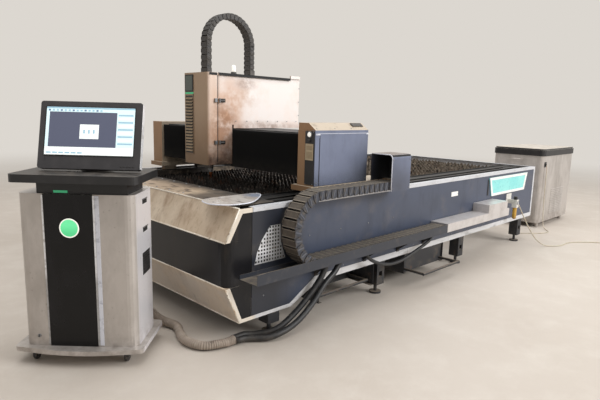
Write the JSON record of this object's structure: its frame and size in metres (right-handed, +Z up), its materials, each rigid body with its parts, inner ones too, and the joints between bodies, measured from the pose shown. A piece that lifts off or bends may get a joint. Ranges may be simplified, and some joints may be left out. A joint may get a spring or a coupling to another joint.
{
  "type": "fiber laser cutting machine",
  "caption": "Open-bed fiber laser cutting machine: slatted table, travelling gantry with a head under a white cover, energy chains, control console and laser source cabinet.",
  "frame": {"origin": "centre of the near right levelling foot, on the floor", "axes": "+X along the bed from the console end to the cabinet end, +Y across the bed away from the chain side, +Z up"},
  "size_m": [7.5149, 3.2079, 2.2814],
  "materials": {
    "frame_grey": "matt",
    "side_blue_grey": "satin",
    "dirty_white": "satin",
    "trim_white": "satin",
    "vent_bright": "satin",
    "rail_dark": "satin",
    "slat_steel": "matt",
    "brushed_silver": "satin",
    "plate_cyan": "gloss",
    "grey_casting": "satin",
    "yellow_bowl": "gloss",
    "knob_black": "matt",
    "beige_enamel": "satin",
    "black_panel": "satin",
    "button_white": "gloss",
    "screen_glass": "gloss",
    "castor_steel": "polished",
    "tyre_black": "matt",
    "bellows_black": "matt",
    "chain_dusty": "matt",
    "cover_white": "satin",
    "head_metal": "satin",
    "hose_black": "matt",
    "conduit_beige": "matt",
    "line_pale": "satin"
  },
  "bodies": {
    "bed": {"bed_frame": "frame_grey", "end_fascia_upper": "dirty_white", "end_fascia_lower": "dirty_white", "end_band": "side_blue_grey", "side_panel_right": "side_blue_grey", "side_panel_left": "side_blue_grey", "side_vent": "vent_bright", "top_trim": "trim_white", "end_deck": "dirty_white", "rail_right": "rail_dark", "rail_left": "rail_dark", "slat_table": "slat_steel", "chain_tray": "side_blue_grey", "side_cover": "brushed_silver", "side_plate": "plate_cyan", "regulator_body": "grey_casting", "regulator_bowl": "yellow_bowl", "chain_lower": "chain_dusty", "console_shell": "brushed_silver", "console_front": "black_panel", "console_base": "brushed_silver", "console_tray": "black_panel", "monitor": "black_panel", "screen": "screen_glass", "cabinet_shell": "brushed_silver", "cabinet_top": "black_panel", "hose_outer": "hose_black", "hose_inner": "hose_black", "drain_hose": "hose_black", "conduit": "conduit_beige", "air_line": "line_pale", "cabinet_cable": "line_pale"},
    "gantry": {"box_right": "beige_enamel", "box_left": "beige_enamel", "box_cover": "side_blue_grey", "control_strip": "black_panel", "beam": "frame_grey", "bellows_right": "bellows_black", "bellows_left": "bellows_black", "hood": "side_blue_grey", "chain_upper": "chain_dusty"},
    "chain_bend": {"chain_bend": "chain_dusty"},
    "head": {"head_cover": "cover_white", "head_front": "black_panel", "cover_lamp": "button_white", "carriage": "frame_grey", "z_chain": "chain_dusty"},
    "z_slide": {"cutting_head": "head_metal"},
    "head_door": {"head_door": "cover_white"},
    "drawer_near": {"drawer_near": "frame_grey"},
    "drawer_far": {"drawer_far": "frame_grey"},
    "strip_button": {"strip_button": "button_white"},
    "regulator_knob": {"regulator_knob": "knob_black"},
    "cabinet_door": {"cabinet_door": "brushed_silver"},
    "swivel_left": {"fork_left": "castor_steel"},
    "swivel_right": {"fork_right": "castor_steel"},
    "wheel_front_left": {"wheel_front_left": "tyre_black"},
    "wheel_front_right": {"wheel_front_right": "tyre_black"},
    "wheel_rear_left": {"wheel_rear_left": "tyre_black"},
    "wheel_rear_right": {"wheel_rear_right": "tyre_black"}
  },
  "joints": [
    {"name": "gantry_slide", "type": "slide", "parent": "bed", "child": "gantry", "axis": [1, 0, 0], "range_m": [-0.25, 2.85], "deforming": ["chain_upper", "chain_lower"]},
    {"name": "chain_bend_slide", "type": "slide", "parent": "gantry", "child": "chain_bend", "axis": [1, 0, 0], "range_m": [-1.425, 0.125]},
    {"name": "head_slide", "type": "slide", "parent": "gantry", "child": "head", "axis": [0, 1, 0], "range_m": [-0.76, 0.74], "deforming": ["bellows_right", "bellows_left"]},
    {"name": "z_slide", "type": "slide", "parent": "head", "child": "z_slide", "axis": [0, 0, 1], "range_m": [-0.03, 0.1], "deforming": ["z_chain"]},
    {"name": "head_door_hinge", "type": "hinge", "parent": "head", "child": "head_door", "pos_m": [0.2555, 0.9256, 1.052], "axis": [0, 0, -1], "range_deg": [0, 100]},
    {"name": "drawer_near_slide", "type": "slide", "parent": "bed", "child": "drawer_near", "axis": [0, -1, 0], "range_m": [0, 1.1]},
    {"name": "drawer_far_slide", "type": "slide", "parent": "bed", "child": "drawer_far", "axis": [0, -1, 0], "range_m": [-0.2, 1.1]},
    {"name": "button_press", "type": "slide", "parent": "gantry", "child": "strip_button", "axis": [1, 0, 0], "range_m": [0, 0.003], "stiffness_N_per_m": 600},
    {"name": "regulator_turn", "type": "hinge", "parent": "bed", "child": "regulator_knob", "pos_m": [3.6, -0.1401, 0.57], "axis": [0, 0, 1], "continuous": true},
    {"name": "cabinet_door_hinge", "type": "hinge", "parent": "bed", "child": "cabinet_door", "pos_m": [4.9457, 0.6874, 0.125], "axis": [0, 0, -1], "range_deg": [0, 110]},
    {"name": "castor_swivel_left", "type": "hinge", "parent": "bed", "child": "swivel_left", "pos_m": [-1.30178, 0.61496, 0.078], "axis": [0, 0, 1], "continuous": true},
    {"name": "castor_front_left", "type": "hinge", "parent": "swivel_left", "child": "wheel_front_left", "pos_m": [-1.28764, 0.6291, 0.035], "axis": [0.7071, -0.7071, 0], "continuous": true},
    {"name": "castor_rear_left", "type": "hinge", "parent": "bed", "child": "wheel_rear_left", "pos_m": [-1.0755, 0.84123, 0.035], "axis": [0.7071, -0.7071, 0], "continuous": true},
    {"name": "castor_swivel_right", "type": "hinge", "parent": "bed", "child": "swivel_right", "pos_m": [-0.91994, 0.23312, 0.078], "axis": [0, 0, 1], "continuous": true},
    {"name": "castor_front_right", "type": "hinge", "parent": "swivel_right", "child": "wheel_front_right", "pos_m": [-0.9058, 0.24727, 0.035], "axis": [0.7071, -0.7071, 0], "continuous": true},
    {"name": "castor_rear_right", "type": "hinge", "parent": "bed", "child": "wheel_rear_right", "pos_m": [-0.69366, 0.4594, 0.035], "axis": [0.7071, -0.7071, 0], "continuous": true}
  ],
  "couplings": [
    {"joint": "chain_bend_slide", "follows": "gantry_slide", "ratio": -0.5}
  ]
}
